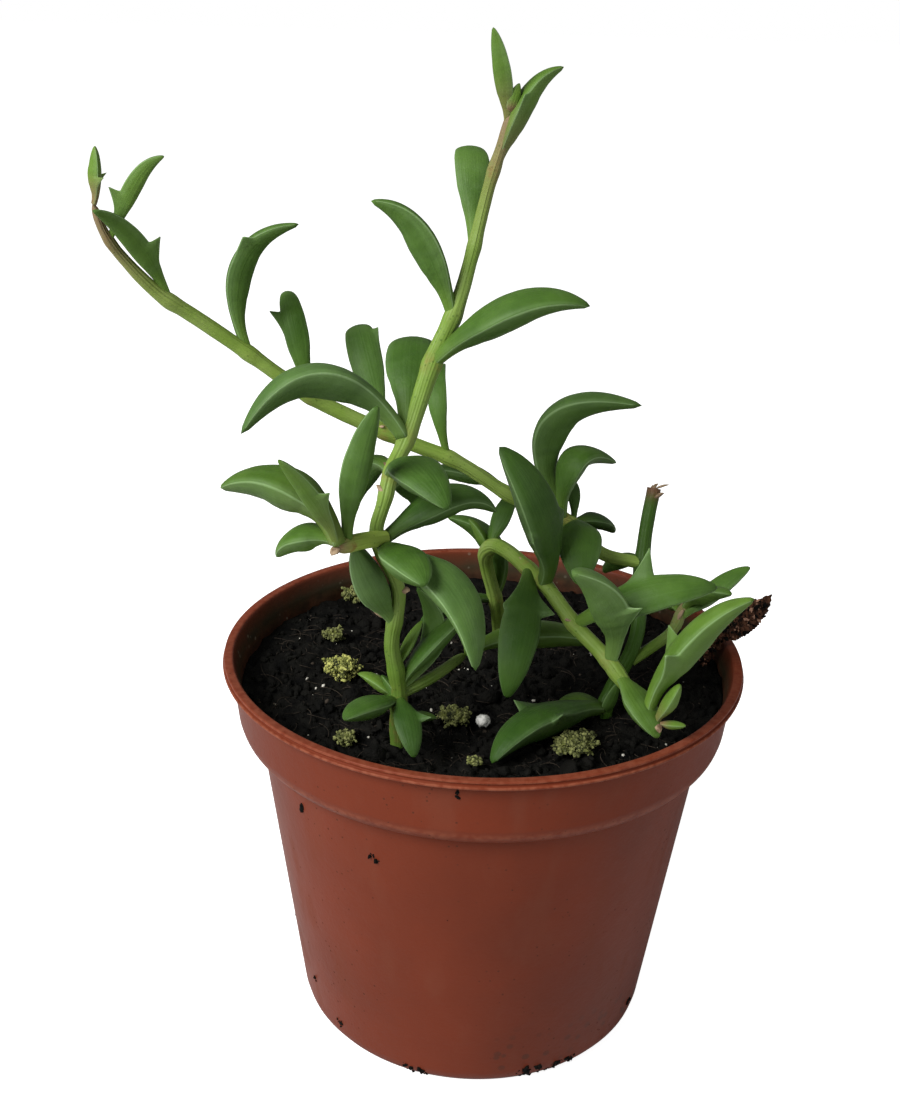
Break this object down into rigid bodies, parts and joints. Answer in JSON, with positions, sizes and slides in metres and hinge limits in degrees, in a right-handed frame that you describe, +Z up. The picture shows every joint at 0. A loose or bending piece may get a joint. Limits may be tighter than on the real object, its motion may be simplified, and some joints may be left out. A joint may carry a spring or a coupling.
{
  "type": "potted string of dolphins",
  "caption": "Small trailing succulent with finned, dolphin-shaped fleshy leaves on pale stems, growing in the soil of a round terracotta-coloured plastic nursery pot.",
  "frame": {"origin": "centre of the underside of the pot's flat base", "axes": "+Z up out of the pot, along the axis of the pot; -Y towards the front of the picture, +X to the picture's right"},
  "size_m": [0.1032, 0.0894, 0.1626],
  "materials": {
    "pot_plastic": "terracotta-coloured moulded plastic with a satin sheen",
    "soil": "moist dark peat with fine fibres",
    "leaf": "fleshy green leaf with a waxy bloom and pale edges",
    "bark": "rough brown bark flake",
    "moss": "crumbly lime-green moss",
    "perlite": "white porous bead"
  },
  "bodies": {
    "root": {"pot": "pot_plastic", "soil": "soil", "tall_stem": "leaf", "arching_stem": "leaf", "branching_stem": "leaf", "bark_flake": "bark", "moss_crumb_1": "moss", "moss_crumb_2": "moss", "moss_crumb_3": "moss", "moss_crumb_4": "moss", "moss_crumb_5": "moss", "moss_crumb_6": "moss", "moss_crumb_7": "moss", "perlite_bead": "perlite"}
  },
  "joints": []
}
